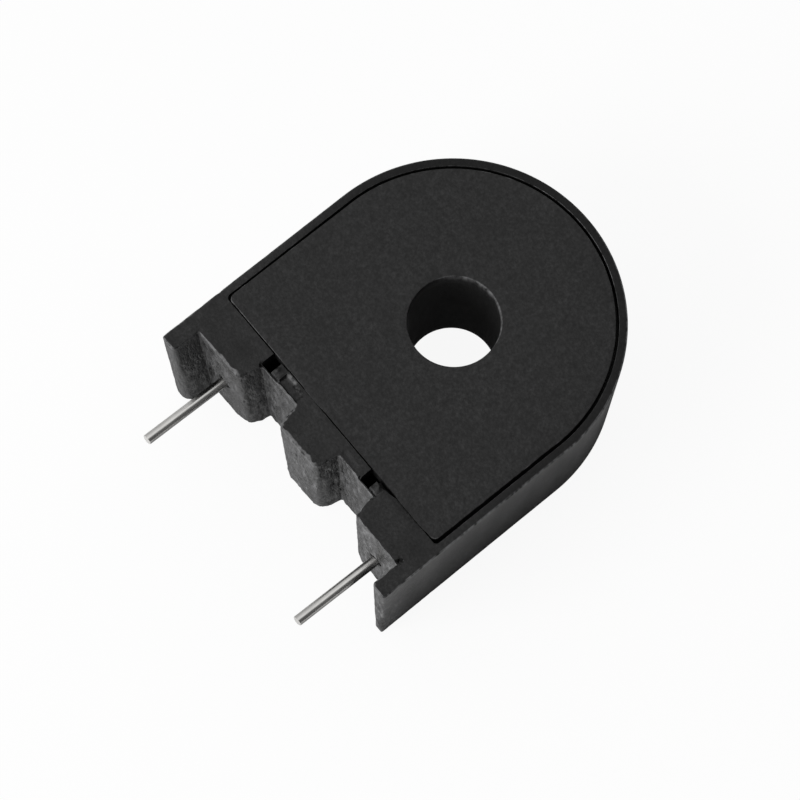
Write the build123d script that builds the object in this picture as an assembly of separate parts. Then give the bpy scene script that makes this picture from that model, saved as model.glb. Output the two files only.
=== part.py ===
from build123d import *
import math
import os

# Current transformer for a circuit board, in millimetres.
# It lies on its back: the bore axis is +Z, the cover faces up, and the terminal pins point along -Y.

# Body
body_width = 21.8          # across the straight sides, and twice the radius of the round end
body_depth = 10.9          # back face to cover face
draft_angle = 1.6          # taper of the outer walls towards the back, in degrees
bore_diameter = 5.9        # the window for the primary conductor
notch_depth = 1.65         # notch floor to the ends of the pin blocks and the centre foot
leg_standoff = 2.0         # how far the legs stand past the pin blocks
leg_thickness = 1.2
foot_width = 3.6           # centre foot, at its end
block_shoulder = 1.9       # pin axis to the notch side of its block
notch_flare = 0.3          # how much each side of a notch leans in towards its floor
back_edge_radius = 0.3
block_edge_radius = 0.3
leg_edge_radius = 0.3      # inner edge of each leg's tip
notch_root_radius = 0.12
front_edge_bevel = 0.1     # along the outer edge of the front face

# Walls inside
rim_wall = 0.52            # thin lip round the cover
ledge_width = 0.85         # the step that the cover rests on, at its sides and round end
foot_ledge_width = 0.55    # the same step along its straight foot
back_wall = 1.0
bore_wall = 0.8
strip_width = 1.02         # cover recess to the floor of the two notches
recess_corner = 0.3
cavity_corner = 0.6
locating_rib_radius = 0.4
locating_rib_angles = (30, 90, 150)

# Cover
cover_thickness = 1.2
cover_gap = 0.25           # groove round the cover at its sides and round end
cover_foot_gap = 0.1       # groove along its straight foot
cover_corner = 0.45
cover_edge_bevel = 0.08
bore_edge_bevel = 0.12     # at the mouth of the bore in the cover
cover_lip_height = 0.45
cover_lip_width = 0.6
cover_lip_gap = 0.1

# Windows in the strip above the notches
window_length = 1.5
window_web = 0.1           # wall left between a window and its notch
window_depth = 4.5
window_step_length = 0.72
window_step_depth = 0.5

# Terminal pins
pin_diameter = 0.7
pin_pitch = 15.24
pin_height = 5.2           # above the back face
pin_projection = 4.4       # past the leg tips, through the board
pin_tail = 1.5             # length inside the cavity
pin_tail_diameter = 0.6
pin_chamfer = 0.1
pin_fit = 0.01
collar_diameter = 1.12     # the thicker middle that holds each pin in its block
collar_sink = 0.25         # how deep the collar ends below the block's end face
pin_root_proud = 0.1       # how far past that face the taper from collar to free end runs

# Coil, from its envelope inwards
coil_gap = 0.35            # to the bore tube and to the round cavity wall
coil_foot_gap = 0.3        # to the straight cavity wall above the pin blocks
rib_gap = 0.1              # coil to the locating ribs
washer_thickness = 0.5
tape_thickness = 0.12
tape_margin = 0.85         # bare winding shown above and below the tape, past its rounded shoulder
winding_build = 0.6        # thickness of the wire layers
winding_corner = 1.1       # rounded shoulder outside
winding_bore_bevel = 0.6   # where the wires turn into the hole
case_wall = 0.45
case_lid_lip = 0.35
case_fit = 0.05
core_gap = 0.1
core_chamfer = 0.15

# Wire ends and solder
lead_diameter = 0.26
lead_angle = 46.0          # where a wire end leaves the coil, below the X axis, in degrees
lead_bend_radius = 0.7
lead_to_pin = 0.02
solder_radius = 0.68
solder_neck = 0.42
solder_length = 1.1
solder_taper = 0.35        # length of each sloped end
solder_wall_gap = 0.1      # solder to the cavity wall

# Places worked out from the sizes above
body_half = body_width / 2
bore_radius = bore_diameter / 2
tube_radius = bore_radius + bore_wall
recess_half = body_half - rim_wall
recess_floor = body_depth - cover_thickness
cavity_half = recess_half - ledge_width
coil_inner = tube_radius + coil_gap
coil_outer = cavity_half - coil_gap
cavity_reach = coil_outer + coil_foot_gap
recess_reach = cavity_reach + foot_ledge_width
cover_half = recess_half - cover_gap
cover_reach = recess_reach - cover_foot_gap
notch_reach = recess_reach + strip_width
block_reach = notch_reach + notch_depth
leg_reach = block_reach + leg_standoff
leg_inner = body_half - leg_thickness
pin_reach = leg_reach + pin_projection
pin_x = pin_pitch / 2
pin_radius = pin_diameter / 2
collar_radius = collar_diameter / 2
collar_reach = block_reach - collar_sink
pin_root_reach = block_reach + pin_root_proud
block_inner = pin_x - block_shoulder

coil_floor = back_wall + washer_thickness
coil_top = recess_floor - washer_thickness
winding_outer = coil_outer - tape_thickness
case_inner = coil_inner + winding_build
case_outer = winding_outer - winding_build
case_floor = coil_floor + winding_build
case_top = coil_top - winding_build
case_lid_floor = case_top - case_wall
core_inner = case_inner + case_wall + core_gap
core_outer = case_outer - case_wall - core_gap
core_floor = case_floor + case_wall + core_gap
core_top = case_lid_floor - case_lid_lip - core_gap
washer_inner = coil_inner
washer_outer = winding_outer - winding_corner / 2
lead_radius = lead_diameter / 2
lead_height = pin_height + pin_tail_diameter / 2 + lead_to_pin + lead_radius
window_low = -notch_reach + window_web
window_outer = block_inner - notch_flare / 2
window_floor = body_depth - window_depth
margin = 1.0               # how far a cutting tool runs past what it cuts


def d_outline(half_width, reach, corner=0.0):
    """A half circle about the bore axis, on straight sides that run down to reach."""
    with BuildSketch() as sketch:
        with BuildLine():
            arch = CenterArc((0, 0), half_width, 0, 180)
            Polyline(arch @ 1, (-half_width, -reach), (half_width, -reach), arch @ 0)
        make_face()
        if corner > 0:
            feet = sketch.vertices().filter_by(lambda v: v.Y < -reach + corner / 2)
            fillet(feet, corner)
    return sketch.sketch


def slab(outline, bottom, top):
    """An outline given its thickness, from one height to another."""
    return extrude(Pos(0, 0, bottom) * outline, amount=top - bottom, dir=(0, 0, 1))


def ring(inner, outer, bottom, top):
    """A flat-ended ring about the bore axis."""
    return slab(Circle(outer) - Circle(inner), bottom, top)


def box_between(low, high):
    """A box from its lowest corner to its highest."""
    size = [b - a for a, b in zip(low, high)]
    return Pos(*low) * Box(*size, align=(Align.MIN, Align.MIN, Align.MIN))


def both_sides(shape):
    """A shape on the +X side, with its mirror image."""
    return shape + mirror(shape, about=Plane.YZ)


def on_pin(side, reach):
    """The place on a pin's axis at some distance below the bore axis, looking out along the pin."""
    return Pos(side * pin_x, -reach, pin_height) * Rot(90, 0, 0)


def pin_rod(side, radius, near, far):
    """A round rod on a pin's axis, between two distances below the bore axis."""
    return on_pin(side, near) * Cylinder(radius, far - near, align=(Align.CENTER, Align.CENTER, Align.MIN))


def housing_shell():
    """The outer form: a D that tapers to the back and is cut off square at the leg tips."""
    outline = Pos(0, 0, body_depth) * d_outline(body_half, leg_reach + margin)
    shell = extrude(outline, amount=body_depth, dir=(0, 0, -1), taper=draft_angle)
    shell -= box_between((-body_width, -leg_reach - body_width, -margin),
                         (body_width, -leg_reach, body_depth + margin))
    shell -= box_between((-leg_inner, -leg_reach - margin, -margin),
                         (leg_inner, -block_reach, body_depth + margin))
    return shell


def notch_outline():
    """One notch between the centre foot and a pin block, narrower at its floor."""
    foot_side = foot_width / 2
    past = notch_flare * margin / notch_depth
    with BuildSketch() as sketch:
        with BuildLine():
            Polyline((foot_side - past, -block_reach - margin),
                     (foot_side + notch_flare, -notch_reach),
                     (block_inner - notch_flare, -notch_reach),
                     (block_inner + past, -block_reach - margin), close=True)
        make_face()
        floor = sketch.vertices().filter_by(lambda v: v.Y > -notch_reach - notch_depth / 2)
        fillet(floor, notch_root_radius)
    return sketch.sketch


def lead_windows():
    """The slots beside the pin blocks that open from the cover face into the cavity."""
    slot = box_between((window_outer - window_length, window_low, window_floor),
                       (window_outer, -cavity_reach + margin, body_depth + margin))
    return both_sides(slot)


def window_step(right_end):
    """The shallow step left standing at the right-hand end of a window."""
    return box_between((right_end - window_step_length, window_low, window_floor),
                       (right_end, -recess_reach, body_depth - window_step_depth))


def locating_ribs():
    """Three half-round ribs on the cavity wall that centre the coil."""
    reach = coil_outer + rib_gap + locating_rib_radius
    rib_top = coil_top - winding_corner
    nose = Pos(reach, 0, back_wall) * Cylinder(locating_rib_radius, rib_top - back_wall,
                                               align=(Align.CENTER, Align.CENTER, Align.MIN))
    root = box_between((reach, -locating_rib_radius, back_wall),
                       (cavity_half + ledge_width / 2, locating_rib_radius, rib_top))
    ribs = Part()
    for angle in locating_rib_angles:
        ribs += Rot(0, 0, angle) * (nose + root)
    return ribs


def block_edges(body):
    """The upright edges where the ends of the pin blocks and the centre foot meet their sides."""
    upright = body.edges().filter_by(Axis.Z)
    past_notches = upright.filter_by(lambda e: e.center().Y < -notch_reach - notch_depth / 2)
    at_ends = past_notches.filter_by(lambda e: e.center().Y > -block_reach - block_edge_radius)
    return at_ends.filter_by(lambda e: abs(e.center().X) < leg_inner - block_edge_radius)


def leg_edges(body):
    """The upright inner edges of the leg tips."""
    return body.edges().filter_by(Axis.Z).filter_by(lambda e: e.center().Y < -leg_reach + leg_edge_radius)


def make_housing():
    """The moulded housing: shell, cover recess, cavity, bore tube, pin blocks, foot and legs."""
    body = housing_shell()
    body -= both_sides(slab(notch_outline(), -margin, body_depth + margin))
    body = fillet(block_edges(body), block_edge_radius)
    body = fillet(leg_edges(body), leg_edge_radius)
    body = fillet(body.faces().sort_by(Axis.Z)[0].outer_wire().edges(), back_edge_radius)
    body = chamfer(body.faces().sort_by(Axis.Z)[-1].outer_wire().edges(), front_edge_bevel)
    recess = d_outline(recess_half, recess_reach, recess_corner)
    body -= slab(recess, recess_floor, body_depth + margin)
    body -= slab(d_outline(cavity_half, cavity_reach, cavity_corner), back_wall, recess_floor + margin)
    body += locating_ribs()
    body += ring(bore_radius, tube_radius, back_wall / 2, recess_floor)
    body -= Pos(0, 0, -margin) * Cylinder(bore_radius, body_depth + 2 * margin,
                                          align=(Align.CENTER, Align.CENTER, Align.MIN))
    body -= lead_windows()
    body += window_step(window_outer)
    body += window_step(window_length - window_outer)
    for side in (-1, 1):
        body -= pin_rod(side, collar_radius + pin_fit, cavity_reach - margin, block_reach + margin)
    return body


def make_cover():
    """The flush cover plate, with a low lip underneath that drops into the cavity."""
    plate = slab(d_outline(cover_half, cover_reach, cover_corner), recess_floor, body_depth)
    plate = chamfer(plate.faces().sort_by(Axis.Z)[-1].edges(), cover_edge_bevel)
    lip_half = cavity_half - cover_lip_gap
    lip_reach = cavity_reach - cover_lip_gap
    lip_corner = cavity_corner - cover_lip_gap
    lip = d_outline(lip_half, lip_reach, lip_corner)
    lip -= d_outline(lip_half - cover_lip_width, lip_reach - cover_lip_width, lip_corner - cover_lip_width / 2)
    plate += slab(lip, recess_floor - cover_lip_height, recess_floor)
    plate -= Pos(0, 0, recess_floor - margin) * Cylinder(bore_radius, cover_thickness + 2 * margin,
                                                         align=(Align.CENTER, Align.CENTER, Align.MIN))
    mouth = plate.faces().sort_by(Axis.Z)[-1].inner_wires()[0]
    return chamfer(mouth.edges(), bore_edge_bevel)


def make_core():
    """The magnetic ring, a roll of thin strip with its edges eased."""
    core = ring(core_inner, core_outer, core_floor, core_top)
    return chamfer(core.edges(), core_chamfer)


def make_case_cup():
    """The lower half of the core's plastic case: a ring trough."""
    cup = ring(case_inner, case_outer, case_floor, case_lid_floor)
    return cup - ring(case_inner + case_wall, case_outer - case_wall, case_floor + case_wall, case_top)


def make_case_lid():
    """The flat lid of the case, with two low lips that fit between the trough's walls."""
    lid = ring(case_inner, case_outer, case_lid_floor, case_top)
    lip_inner = case_inner + case_wall + case_fit
    lip_outer = case_outer - case_wall - case_fit
    bottom = case_lid_floor - case_lid_lip
    lid += ring(lip_inner, lip_inner + case_wall, bottom, case_lid_floor)
    lid += ring(lip_outer - case_wall, lip_outer, bottom, case_lid_floor)
    return lid


def lead_path(side):
    """The route of one wire end: off the coil above the tape, down to the pin's tail and along it."""
    angle = math.radians(lead_angle)
    start = (case_outer + winding_outer) / 2
    bend = cavity_reach - solder_wall_gap - solder_length - lead_bend_radius / 2
    points = [
        (side * start * math.cos(angle), -start * math.sin(angle), coil_top - winding_corner),
        (side * pin_x, -bend, lead_height),
        (side * pin_x, -cavity_reach + solder_wall_gap + solder_taper, lead_height),
    ]
    return FilletPolyline(*points, radius=lead_bend_radius)


def make_lead(side):
    """One wire end as a round wire along its route."""
    path = lead_path(side)
    section = Plane(origin=path @ 0, z_dir=path % 0) * Circle(lead_radius)
    return sweep(section, path=path)


def make_winding():
    """The wire layers round the case, with both wire ends."""
    middle_height = (coil_floor + coil_top) / 2
    profile = Pos((coil_inner + winding_outer) / 2, middle_height) * Rectangle(
        winding_outer - coil_inner, coil_top - coil_floor)
    profile = fillet(profile.vertices().sort_by(Axis.X)[2:], winding_corner)
    profile = chamfer(profile.vertices().sort_by(Axis.X)[:2], winding_bore_bevel)
    hollow = Pos((case_inner + case_outer) / 2, middle_height) * Rectangle(
        case_outer - case_inner, case_top - case_floor)
    winding = revolve(Plane.XZ * (profile - hollow), Axis.Z)
    return winding + make_lead(-1) + make_lead(1)


def make_tape():
    """The tape band round the outside of the coil."""
    low = coil_floor + winding_corner + tape_margin
    high = coil_top - winding_corner - tape_margin
    return ring(winding_outer, coil_outer, low, high)


def make_pin(side):
    """One round terminal pin: free end, tapered root, the collar held in the pin block, and a thinner tail."""
    free = pin_rod(side, pin_radius, pin_root_reach, pin_reach)
    tip = free.edges().filter_by(GeomType.CIRCLE).sort_by(Axis.Y)[0]
    root = on_pin(side, collar_reach) * Cone(collar_radius, pin_radius, pin_root_reach - collar_reach,
                                             align=(Align.CENTER, Align.CENTER, Align.MIN))
    collar = pin_rod(side, collar_radius, cavity_reach, collar_reach)
    tail = pin_rod(side, pin_tail_diameter / 2, cavity_reach - pin_tail, cavity_reach)
    return chamfer(tip, pin_chamfer) + root + collar + tail


def make_solder(side):
    """The solder that joins one wire end to its pin: a spindle of it round both."""
    with BuildSketch() as sketch:
        with BuildLine():
            Polyline((0, 0), (0, solder_neck), (solder_taper, solder_radius),
                     (solder_length - solder_taper, solder_radius), (solder_length, solder_neck),
                     (solder_length, 0), close=True)
        make_face()
    place = Pos(side * pin_x, -cavity_reach + solder_wall_gap, pin_height) * Rot(0, 0, 90)
    return place * revolve(sketch.sketch, Axis.X) - make_pin(side) - make_lead(side)


parts = {
    "housing": make_housing(),
    "front_cover": make_cover(),
    "core_ring": make_core(),
    "core_case_cup": make_case_cup(),
    "core_case_lid": make_case_lid(),
    "secondary_winding": make_winding(),
    "winding_tape": make_tape(),
    "lower_washer": ring(washer_inner, washer_outer, back_wall, coil_floor),
    "upper_washer": ring(washer_inner, washer_outer, coil_top, recess_floor),
    "terminal_pin_left": make_pin(-1),
    "terminal_pin_right": make_pin(1),
    "solder_joint_left": make_solder(-1),
    "solder_joint_right": make_solder(1),
}

os.makedirs("parts", exist_ok=True)
for name, shape in parts.items():
    export_step(shape, f"parts/{name}.step")
    print(f"{name}: {shape.volume:.2f} mm3, {len(shape.solids())} solid(s)")
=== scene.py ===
# %% [markdown]
# # A current transformer for a circuit board
#
# The object is a small black moulded part, about the size of a thumbnail. A wound ring sits inside a
# D-shaped housing, a flush cover closes it, and a round bore runs right through for the wire whose current
# is measured. Two legs keep it off the board and two tinned pins are soldered into it.
#
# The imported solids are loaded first. Everything made here shares their frame: metres, +Z up along the bore,
# pins along -Y. Sizes are written in millimetres, because that is how the part is drawn, and turned into
# metres once, where a mesh is made.

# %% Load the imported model
import bpy
import bmesh
import math
import numpy as np
from mathutils import Matrix, Vector
from mathutils.geometry import delaunay_2d_cdt


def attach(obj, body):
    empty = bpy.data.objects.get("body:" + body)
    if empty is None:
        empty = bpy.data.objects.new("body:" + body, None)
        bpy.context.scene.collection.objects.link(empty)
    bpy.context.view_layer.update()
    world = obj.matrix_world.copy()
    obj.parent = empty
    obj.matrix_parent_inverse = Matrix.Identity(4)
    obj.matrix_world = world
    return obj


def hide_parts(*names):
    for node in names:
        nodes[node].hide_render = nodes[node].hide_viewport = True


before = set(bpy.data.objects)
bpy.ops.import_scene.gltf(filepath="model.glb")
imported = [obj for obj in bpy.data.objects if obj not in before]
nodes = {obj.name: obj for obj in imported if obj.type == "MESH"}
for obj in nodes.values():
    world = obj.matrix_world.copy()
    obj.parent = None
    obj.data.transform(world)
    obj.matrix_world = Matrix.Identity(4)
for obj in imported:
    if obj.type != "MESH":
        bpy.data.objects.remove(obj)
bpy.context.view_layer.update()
MM = 0.001

# %% [markdown]
# ## The view
#
# A product photograph like this is taken from well above with a long lens, so the two faces stay nearly
# parallel in the picture. Such a camera could be placed by eye, but a pose fitted to the part's corners is
# far surer, so the camera is given by two angles, a small roll, a place and a lens. The back vector points
# from the object to the camera; right lies flat, and up follows from the two.

# %% Camera
azimuth, elevation, roll = math.radians(50.3947), math.radians(73.9039), math.radians(-0.0323)
back = Vector((math.sin(azimuth) * math.cos(elevation), -math.cos(azimuth) * math.cos(elevation),
               math.sin(elevation)))
right = Vector((math.cos(azimuth), math.sin(azimuth), 0.0))
turned = Matrix((right, back.cross(right), back)).transposed().to_4x4()
camera_data = bpy.data.cameras.new("camera")
camera_data.sensor_width = 36.0
camera_data.lens = 151.517
camera_data.clip_start, camera_data.clip_end = 0.02, 20.0
camera = bpy.data.objects.new("camera", camera_data)
camera.matrix_world = (Matrix.Translation(Vector((46.4924, -42.8512, 212.0146)) * MM)
                       @ turned @ Matrix.Rotation(roll, 4, "Z"))
bpy.context.scene.collection.objects.link(camera)
bpy.context.scene.camera = camera
bpy.context.scene.view_settings.view_transform = "Standard"
print("camera at, mm:", [round(v / MM, 1) for v in camera.location])

# %% [markdown]
# ## Floor, light and background
#
# Small parts are shot on white, under large soft lamps. A black part shows its form almost only by what it
# mirrors. The top face mirrors the ceiling, and the upright faces are seen at a flat angle, so they mirror
# the floor beside them: it is bright below the pins, and falls into shadow close to the long side wall. A
# few point lamps could give as much light, but a bright half dome gives these soft steps by itself, so the
# room is bright overhead and on the -X side and dark on the other, with one more soft lamp on the pin side.
# Light Path makes the floor white to the camera without adding light to the object.

# %% The floor
floor_grid = np.linspace(-2.0, 2.0, 9)
floor_x, floor_y = np.meshgrid(floor_grid, floor_grid)
floor_at = np.arange(floor_x.size).reshape(floor_x.shape)
floor_quads = np.stack([floor_at[:-1, :-1], floor_at[:-1, 1:],
                        floor_at[1:, 1:], floor_at[1:, :-1]], -1).reshape(-1, 4)
floor_mesh = bpy.data.meshes.new("floor")
floor_mesh.from_pydata(np.stack([floor_x, floor_y, np.zeros_like(floor_x)], -1).reshape(-1, 3).tolist(), [],
                       floor_quads.tolist())
floor = bpy.data.objects.new("floor", floor_mesh)
bpy.context.scene.collection.objects.link(floor)
print("floor quads:", len(floor_mesh.polygons))

# %% [markdown]
# ## Nodes in one line each
#
# A material is a small machine of nodes: patterns, sums and masks that end in one shader. Wired one by one
# they take several lines each, and the idea gets lost among them. So each method of this class adds one
# node with all its inputs, and gives back what comes out of it. An input is either a plain value or another
# node's output.

# %% A finish in the making
class Finish:
    """A node material while it is being built."""

    def __init__(self, name):
        self.material = bpy.data.materials.new(name)
        self.material.use_nodes = True
        self.tree = self.material.node_tree
        self.tree.nodes.clear()

    def feed(self, socket, value):
        """Joins an output to an input, or sets the input to a plain value."""
        if isinstance(value, bpy.types.NodeSocket):
            self.tree.links.new(value, socket)
        else:
            socket.default_value = value

    def add(self, kind, **settings):
        """A node with its options and inputs by name, where an underscore stands for a space."""
        node = self.tree.nodes.new("ShaderNode" + kind)
        for key, value in settings.items():
            if key in node.bl_rna.properties:
                setattr(node, key, value)
            else:
                self.feed(node.inputs[key.replace("_", " ")], value)
        return node

    def math(self, operation, *values):
        """One sum of one to three values."""
        node = self.add("Math", operation=operation)
        for socket, value in zip(node.inputs, values):
            self.feed(socket, value)
        return node.outputs[0]

    def times(self, first, second):
        """The first value times the second."""
        return self.math("MULTIPLY", first, second)

    def spread(self, value, low, high, to_low, to_high, steps="LINEAR"):
        """Maps a value from one range to another."""
        ranged = self.add("MapRange", interpolation_type=steps, Value=value)
        for name, number in (("From Min", low), ("From Max", high), ("To Min", to_low), ("To Max", to_high)):
            ranged.inputs[name].default_value = number
        return ranged.outputs[0]

    def noise(self, vector, scale, detail=3.0, roughness=0.6):
        """A noise pattern on a vector, with its scale in waves to the metre."""
        return self.add("TexNoise", Vector=vector, Scale=scale, Detail=detail,
                        Roughness=roughness).outputs["Fac"]

    def ramp(self, value, steps, dark, light):
        """A colour that goes from dark to light between two steps of a value."""
        node = self.add("ValToRGB", Fac=value)
        for element, step, colour in zip(node.color_ramp.elements, steps, (dark, light)):
            element.position, element.color = step, (*colour, 1)
        return node.outputs["Color"]

    def mix(self, kind, share, first, second):
        """Two colours mixed or multiplied, by a share."""
        return self.add("MixRGB", blend_type=kind, Fac=share, Color1=first, Color2=second).outputs["Color"]

    def split(self, vector):
        """The X, Y and Z of a vector."""
        return self.add("SeparateXYZ", Vector=vector).outputs

    def bump(self, height, distance, strength, **below):
        """A bump of a height, on top of the one below if there is one."""
        return self.add("Bump", Height=height, Distance=distance, Strength=strength, **below).outputs[0]

    def surface(self, **inputs):
        """Ends the material in one principled shader."""
        self.add("OutputMaterial", Surface=self.add("BsdfPrincipled", **inputs).outputs[0])
        return self.material


# %% A floor that is white to the camera
paper = Finish("white_floor")
rays = paper.add("LightPath").outputs
seen = paper.math("MAXIMUM", paper.times(rays["Is Camera Ray"], 0.92),
                  paper.times(rays["Is Transmission Ray"], 0.92))
share = paper.math("MAXIMUM", seen, paper.times(rays["Is Glossy Ray"], 0.08))
blend = paper.add("MixShader", Fac=share)
paper.feed(blend.inputs[1], paper.add("BsdfDiffuse", Color=(0.88, 0.88, 0.88, 1.0)).outputs[0])
paper.feed(blend.inputs[2], paper.add("Emission", Color=(1.0, 1.0, 1.0, 1.0), Strength=1.0).outputs[0])
paper.add("OutputMaterial", Surface=blend.outputs[0])
floor_mesh.materials.append(paper.material)
print("floor nodes:", len(paper.tree.nodes))

# %% Half dome and side lamp
world = bpy.data.worlds.new("room")
bpy.context.scene.world = world
world.use_nodes = True
room = world.node_tree.nodes["Background"]
facing = world.node_tree.nodes.new("ShaderNodeTexCoord")
parts = world.node_tree.nodes.new("ShaderNodeSeparateXYZ")
dome = world.node_tree.nodes.new("ShaderNodeMapRange")
dome.interpolation_type = "SMOOTHSTEP"
for name, value in (("From Min", 0.5), ("From Max", -0.05), ("To Min", 0.1), ("To Max", 0.85)):
    dome.inputs[name].default_value = value
world.node_tree.links.new(facing.outputs["Generated"], parts.inputs[0])
world.node_tree.links.new(parts.outputs["X"], dome.inputs["Value"])
world.node_tree.links.new(dome.outputs[0], room.inputs["Strength"])
room.inputs["Color"].default_value = (1.0, 1.0, 1.0, 1.0)

lamp_place, lamp_aim = Vector((-60, -250, 190)), Vector((0, -2, 5))
lamp_data = bpy.data.lights.new("pin_side_lamp", "AREA")
lamp_data.shape = "SQUARE"
lamp_data.size = 160 * MM
lamp_data.energy = 0.57    # watts
lamp = bpy.data.objects.new("pin_side_lamp", lamp_data)
lamp.location = lamp_place * MM
lamp.rotation_euler = (lamp_aim - lamp_place).to_track_quat("-Z", "Y").to_euler()
bpy.context.scene.collection.objects.link(lamp)

# %% [markdown]
# ## Outlines with rounded corners
#
# Nearly every edge of a moulded part is a line that runs round it: the outer D, the recess for the cover,
# the cavity. Such a line could be drawn as a curve object, but then its points are hard to reuse. Here it
# is a closed polygon whose corners are replaced by arcs, worked out as numpy arrays. A half circle is just
# two corners whose radius is half the width. The outward direction at each point comes with it, so that the
# line can later be moved in or out to round an edge.

# %% A closed line with rounded corners
def rounded_loop(corners, spacing):
    """Walks round a polygon, counter-clockwise, and returns points, outward directions and carried values.

    The spacing is one number, or one for each corner, which also holds for the straight after it.

    Each corner is x, y, radius and any values to carry along. An arc point is the arc's centre plus the
    radius times a direction that turns evenly from one side's outward direction to the next one's. Points
    on a straight divide it evenly, and the carried values change evenly along it. A corner of radius 0 is
    one point, whose direction is the sum of both sides' directions, lengthened so that both sides move by
    the same amount."""
    table = np.array(corners, float)
    spacing = np.broadcast_to(spacing, len(table))
    spot, radius, carried = table[:, :2], table[:, 2], table[:, 3:]
    along = np.roll(spot, -1, 0) - spot
    along /= np.linalg.norm(along, axis=1)[:, None]
    before = np.roll(along, 1, 0)
    turn = np.arctan2(before[:, 0] * along[:, 1] - before[:, 1] * along[:, 0], (before * along).sum(1))
    out_before = np.column_stack([before[:, 1], -before[:, 0]])
    side = np.sign(turn) + (turn == 0)
    cut = radius * np.abs(np.tan(turn / 2))
    start, end = spot - before * cut[:, None], spot + along * cut[:, None]
    centre = start - out_before * (radius * side)[:, None]
    points, outward, values = [], [], []
    for i, after in enumerate(np.roll(np.arange(len(spot)), -1)):
        steps = (int(max(abs(turn[i]) * radius[i] / spacing[i], abs(turn[i]) / 0.2, 1)) + 1
                 if radius[i] > 0 else 0)
        angle = turn[i] * np.linspace(0, 1, steps + 1)
        first = math.atan2(out_before[i, 1], out_before[i, 0])
        if radius[i] > 0:
            facing = np.column_stack([np.cos(first + angle), np.sin(first + angle)])
            points.append(centre[i] + side[i] * radius[i] * facing)
        else:
            mitre = out_before[i] + [along[i, 1], -along[i, 0]]
            facing = mitre[None, :] * 2 / (mitre @ mitre)
            points.append(spot[i][None, :])
        outward.append(facing)
        values.append(np.repeat(carried[i][None, :], len(facing), 0))
        length = np.linalg.norm(start[after] - end[i])
        t = np.linspace(0, 1, int(length / spacing[i]) + 2)[1:-1, None]
        points.append(end[i] + (start[after] - end[i]) * t)
        outward.append(np.repeat([[along[i, 1], -along[i, 0]]], len(t), 0))
        values.append(carried[i] * (1 - t) + carried[after] * t)
    points, outward, values = np.vstack(points), np.vstack(outward), np.vstack(values)
    keep = np.linalg.norm(points - np.roll(points, 1, 0), axis=1) > 1e-6
    return points[keep], outward[keep], values[keep]


def ring_loop(radius):
    """A circle about the bore: radius times (cos, sin) of evenly spaced angles."""
    count = 96
    angle = np.arange(count) * 2 * math.pi / count
    facing = np.column_stack([np.cos(angle), np.sin(angle)])
    return radius * facing, facing


small_d = rounded_loop([(10, 10, 10), (-10, 10, 10), (-10, -10, 1), (10, -10, 1)], 0.3)
print("a D of 10 mm has", len(small_d[0]), "points")

# %% [markdown]
# ## Walls, flat faces and one closed skin
#
# A moulding is a set of terraces: walls that follow a line up from one height to the next, and flat faces
# between two lines at one height. A wall is a grid, with the line across it and the height up it. A flat
# face between lines of any shape is filled by a constrained Delaunay triangulation, which only keeps the
# triangles that lie inside an odd number of the lines. All of them are then merged into one closed skin.
# Marks and dents come from ripples, a soft random height made of a few sine waves with a fixed seed.

# %% Grids
def wall(loop, outward, rows):
    """A grid up a line: point = line + outward direction times the row's offset, at the row's height.

    Each row is (height, offset), and either may be one number or one number for each point of the line.
    """
    height = np.stack([np.broadcast_to(np.asarray(row[0], float), len(loop)) for row in rows])
    offset = np.stack([np.broadcast_to(np.asarray(row[1], float), len(loop)) for row in rows])
    flat = loop[None] + outward[None] * offset[..., None]
    return np.concatenate([flat, height[..., None]], -1)


def grid_quads(rows, columns, closed=True):
    """The four corner numbers of each cell of a grid, with the last column joined to the first if it is
    closed."""
    at = np.arange(rows * columns).reshape(rows, columns)
    following = np.roll(at, -1, 1)
    quads = np.stack([at[:-1], following[:-1], following[1:], at[1:]], -1)
    return (quads if closed else quads[:, :-1]).reshape(-1, 4)


def as_sheet(grid):
    """A closed grid as points and quads."""
    return grid.reshape(-1, 3), grid_quads(*grid.shape[:2])


# %% Flat fills between lines
def inside(points, loop):
    """True where a ray to the right crosses the line an odd number of times."""
    a, b = loop, np.roll(loop, -1, 0)
    x, y = points[:, :1], points[:, 1:]
    rise = np.where(b[:, 1] == a[:, 1], 1.0, b[:, 1] - a[:, 1])
    crossed = ((a[:, 1] > y) != (b[:, 1] > y)) & (x < a[:, 0] + (b[:, 0] - a[:, 0]) * (y - a[:, 1]) / rise)
    return crossed.sum(1) % 2 == 1


def between(points, loops):
    """True for points inside an odd number of the lines."""
    return sum(inside(points, loop).astype(int) for loop in loops) % 2 == 1


def scattered(loops, spacing, top):
    """A grid of points between the lines and below y = top, none nearer to a line's point than 0.7 of the
    spacing."""
    low, high = np.vstack(loops).min(0), np.vstack(loops).max(0)
    x, y = np.meshgrid(np.arange(low[0], high[0], spacing),
                       np.arange(low[1], min(high[1], top), spacing * 0.87))
    x = x + np.where(np.arange(len(x)) % 2, spacing / 2, 0)[:, None]
    grid = np.column_stack([x.ravel(), y.ravel()])
    grid = grid[between(grid, loops)]
    border = np.vstack(loops)
    border = border[border[:, 1] < top + spacing]
    apart = np.min((grid[:, :1] - border[:, 0]) ** 2 + (grid[:, 1:] - border[:, 1]) ** 2, axis=1)
    return grid[apart > (0.7 * spacing) ** 2]


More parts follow.
